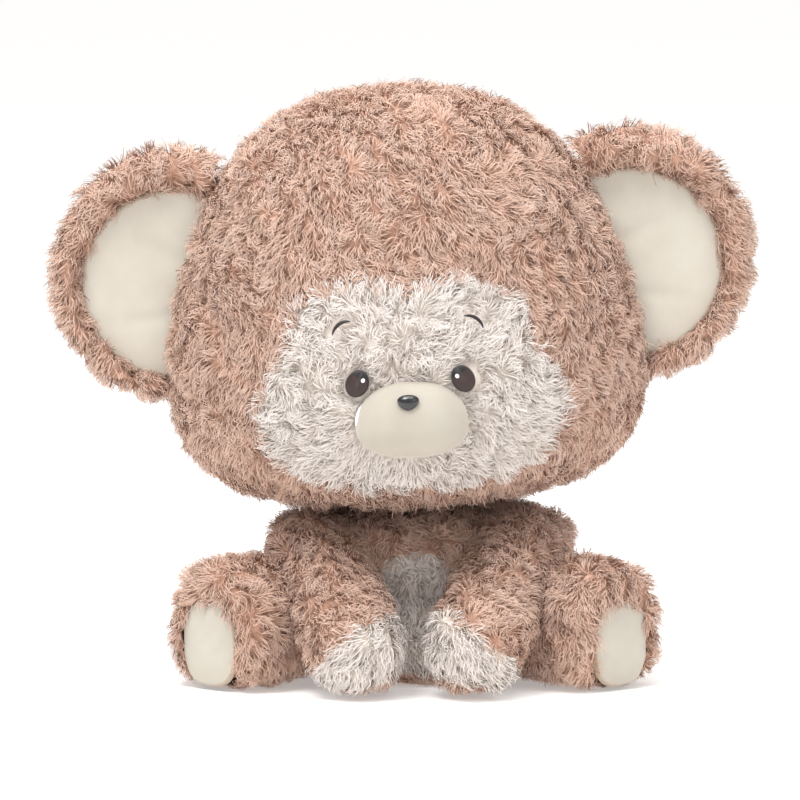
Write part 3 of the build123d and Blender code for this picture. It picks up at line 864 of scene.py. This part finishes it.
for side, word in ((1, "right"), (-1, "left")):
    # an eye: an oval dome of satin stitch in rows 0.55 mm apart, black round its edge, with a white spot
    rows, columns = 70, 120
    r, t = roundGrid(rows, columns)
    angle = 2 * math.pi * t
    a = faceSize["eyeHalf"][0] * r * np.cos(angle)
    b = faceSize["eyeHalf"][1] * r * np.sin(angle)
    lean = math.radians(28)
    x = faceSize["eye"][0] + a * math.cos(lean) - b * math.sin(lean)
    z = faceSize["eye"][1] + a * math.sin(lean) + b * math.cos(lean)
    ridge = np.abs(np.sin(math.pi * (b + 0.15 * np.sin(a * 2.0)) / 0.55))
    lift = 1.2 + 1.5 * np.sqrt(np.maximum(1 - r ** 2, 0)) + 0.16 * ridge
    lift = lift - 2.0 * np.clip((r - 0.95) / 0.05, 0, 1)
    shade = 0.5 + 0.08 * np.sin(b * 11.4 + 2 * np.sin(a * 3))
    shade = np.where((r > 0.88) | (b > 3.0 + 0.12 * a ** 2 * 0.3), 0.15, shade)
    spot = np.hypot((a + 1.7) / 0.95, (b - 3.0) / 1.1) < 1
    shade = np.where(spot, 0.95, shade)
    stitched("eyeStitch_" + word, x, z, lift, shade, gridCorners(rows, columns, True), "eye_" + word, side)

    # a brow: satin stitch along an arc, with slanting rows
    rows, columns = 64, 13
    s, c = np.meshgrid(np.linspace(0, 1, rows), np.linspace(-1, 1, columns), indexing="ij")
    s, c = s.ravel(), c.ravel()
    angle = np.radians(11 + 88 * s)
    half = 0.85 * np.sin(math.pi * np.clip(s, 0.03, 0.97)) ** 0.45
    radius = faceSize["browRadius"] + c * half
    x = faceSize["brow"][0] + radius * np.cos(angle)
    z = faceSize["brow"][1] + radius * np.sin(angle)
    ridge = np.abs(np.sin(math.pi * (s * 22 + c * 0.8)))
    lift = 2.0 + 1.0 * np.sqrt(np.maximum(1 - c ** 2, 0)) + 0.15 * ridge
    quads = gridCorners(rows, columns, False)[:, ::-1]
    stitched("browStitch_" + word, x, z, lift, np.full(len(s), 0.32), quads, "brow_" + word, side)
print("face done")

bellySize = {"half": (25.0, 27.0), "z": 37.0}


def bodyPanel(points):
    x, y, z = points.T
    front = y < bodySize["y"]
    belly = front & (np.hypot(x / bellySize["half"][0], (z - bellySize["z"]) / bellySize["half"][1]) < 1)
    names = np.where(z < bodySize["seatSeam"], "seat", np.where(front, "chest", "back"))
    return np.where(belly & (names != "seat"), "belly", names)


bodyRoots = scattered(bodyForm, furSettings, 500)
for name, panel, material, slot, nodes in (
        ("chestFur", "chest", brownFur, "brown_fur", ["chest_panel", "body_filling"]),
        ("backFur", "back", brownFur, "brown_fur", ["back_panel"]),
        ("bellyFur", "belly", creamFur, "cream_fur", ["belly_patch"])):
    furPiece(name, bodyForm, material, 500, "body", slot, nodes, roots=bodyRoots, shape=topShape,
             keep=lambda p, panel=panel: bodyPanel(p) == panel)
furPiece("seatFur", bodyForm, brownFur, 500, "body", "brown_fur", ["seat_panel"], roots=bodyRoots,
         keep=lambda p: bodyPanel(p) == "seat", fur={"pile": 1.2, "sweep": 5.5})
print("body done")

handSize = {"edge": (34.0, -115.0, 31.5), "facing": (-0.6, -0.12, -0.79), "palm": 9.0, "back": -66.0}


def onHandPatch(points, side):
    # below a slanting plane across the wrist, ahead of the sleeve and above the palm
    ahead = (points * (side, 1, 1) - np.array(handSize["edge"])) @ np.array(handSize["facing"])
    under = points[:, 2] + 0.25 * (np.abs(points[:, 0]) - armSize["hand"][0]) > handSize["palm"]
    return (ahead > 0) & under & (points[:, 1] < handSize["back"])


def offFloor(points):
    # the pile is pressed short where it rests on the floor
    return np.clip((points[:, 2] - 1.0) / 9.0, 0.12, 1)


legReach = np.array([math.sin(splay), -math.cos(splay), 0.0])


def onSole(points, side):
    # the oval at the flat end of the leg
    local = points * (side, 1, 1) - np.array(legSize["hip"])
    ahead = local @ legReach
    across = local @ np.array([-legReach[1], legReach[0], 0.0])
    up = local[:, 2] + legSize["soleDrop"]
    halfAcross, halfUp = legSize["soleHalf"]
    return (ahead > legSize["length"] - 12) & (squircle(across / halfAcross, up / halfUp) < 0.99)


for side, word in ((1, "right"), (-1, "left")):
    arm = mirroredForm(armForm, side)
    leg = mirroredForm(legForm, side)
    furPiece("handFur_" + word, arm, creamFur, 600 + side, "arm_" + word, "cream_fur", ["hand_patch_" + word],
             keep=lambda p: onHandPatch(p, side), shape=offFloor,
             flow=lambda p: np.tile((side * 0.7, 0.0, -0.5), (len(p), 1)))
    furPiece("armFur_" + word, arm, brownFur, 600 + side, "arm_" + word, "brown_fur", ["arm_sleeve_" + word],
             keep=lambda p: ~onHandPatch(p, side), shape=offFloor)
    furPiece("legFur_" + word, leg, brownFur, 700 + side, "leg_" + word, "brown_fur", ["leg_cover_" + word],
             keep=lambda p: ~onSole(p, side), shape=offFloor)

    # the sole: a flat oval pad, slightly puffed, drawn down into its seam
    rows, columns = 26, 80
    r, t = roundGrid(rows, columns)
    angle = 2 * math.pi * t
    ring = r / squircle(np.cos(angle), np.sin(angle))
    across = legSize["soleHalf"][0] * ring * np.cos(angle)
    up = legSize["soleHalf"][1] * ring * np.sin(angle) - legSize["soleDrop"] + legSize["rise"]
    puff = legSize["puff"] * (1 - r ** 2.4) - 2.4 * np.clip((r - 0.95) / 0.05, 0, 1) ** 2
    puff = puff + 0.25 * wave(np.stack([across, up, up], -1), 14, 61)
    base = np.array(legSize["hip"]) + legReach * (legSize["length"] - 2.4)
    points = base + np.outer(across, (-legReach[1], legReach[0], 0)) + np.outer(up, (0, 0, 1))
    points = points + np.outer(puff, legReach)
    points = points * (side, 1, 1)
    quads = gridCorners(rows, columns, True)
    if side < 0:
        quads = quads[:, ::-1]
    soleTint = np.clip((r - 0.93) / 0.05, 0, 1) * 0.7
    sole = quadPiece("soleCloth_" + word, points, quads, soleShadedVelboa, soleTint)
    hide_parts("foot_sole_" + word)
    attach(sole, "leg_" + word)

furPiece("tailFur", tailForm, brownFur, 800, "tail", "brown_fur", ["tail_cover"], shape=offFloor,
         fur={"sweep": 6.0, "lump": 0.6, "crease": 0.4})
print("limbs done,", sum(counts), "triangles of fur")

innerFinish = {"head_filling": fibreFill, "muzzle_filling": fibreFill, "neck_filling": fibreFill,
               "arm_filling_left": fibreFill, "arm_filling_right": fibreFill, "leg_filling_left": fibreFill,
               "leg_filling_right": fibreFill, "tail_filling": fibreFill, "pellet_bag": bagCloth,
               "nose_washer": washerPlastic, "care_label": labelSatin}
for node, material in innerFinish.items():
    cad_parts[node].data.materials.clear()
    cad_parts[node].data.materials.append(material)

# a wide flat floor: a grid of level points
a, b = np.meshgrid(np.linspace(-14, 14, 8), np.linspace(-14, 14, 8), indexing="ij")
# matt paper that glows a little, so that its far side stays white
floorMaterial, floorTree, floorShader = newMaterial("palePaper")
setInputs(floorShader, {"Base Color": linear("#f4f3f1"), "Roughness": 0.9,
                        "Emission Color": linear("#ffffff"), "Emission Strength": 0.3})
floor = quadPiece("floor", np.stack([a.ravel(), b.ravel(), a.ravel() * 0], -1) / mm, gridCorners(8, 8, False),
                  floorMaterial)

world = bpy.data.worlds.new("softRoom")
bpy.context.scene.world = world
world.use_nodes = True
setInputs(world.node_tree.nodes["Background"], {"Color": linear("#ffffff"), "Strength": 0.75})


def softbox(name, place, size, power):
    # a square panel of light, in metres and watts, turned towards the toy's middle
    light = bpy.data.lights.new(name, "AREA")
    light.shape, light.size, light.size_y, light.energy = "RECTANGLE", size, size, power
    lamp = bpy.data.objects.new(name, light)
    bpy.context.scene.collection.objects.link(lamp)
    lamp.location = place
    direction = np.subtract((0, 0, 0.15), place)
    lamp.rotation_euler = (math.acos(-direction[2] / np.linalg.norm(direction)),
                           0, math.atan2(direction[1], direction[0]) - math.pi / 2)


softbox("keyBox", (-0.6, -0.8, 1.8), 0.8, 20)
softbox("fillBox", (1.3, -1.4, 1.1), 1.2, 4)
softbox("topBox", (0.0, -0.4, 1.85), 1.4, 20.5)

# the view: how far off and how high the camera stands, in metres and degrees, and how wide it sees at its aim
cameraSettings = {
    "distance": 4.0, "elevation": 6.0, "aim": (-0.0075, 0.0, 0.1373), "width": 0.4,
    "sensor": 36.0,     # in millimetres
}
camera = bpy.data.cameras.new("studioCamera")
camera.sensor_width = cameraSettings["sensor"]
camera.lens = cameraSettings["sensor"] * cameraSettings["distance"] / cameraSettings["width"]
cameraObject = bpy.data.objects.new("studioCamera", camera)
bpy.context.scene.collection.objects.link(cameraObject)
elevation = math.radians(cameraSettings["elevation"])
aim = cameraSettings["aim"]
cameraObject.location = (aim[0], aim[1] - cameraSettings["distance"] * math.cos(elevation),
                         aim[2] + cameraSettings["distance"] * math.sin(elevation))
cameraObject.rotation_euler = (math.pi / 2 - elevation, 0, 0)
bpy.context.scene.camera = cameraObject
bpy.context.scene.view_settings.view_transform = "Standard"
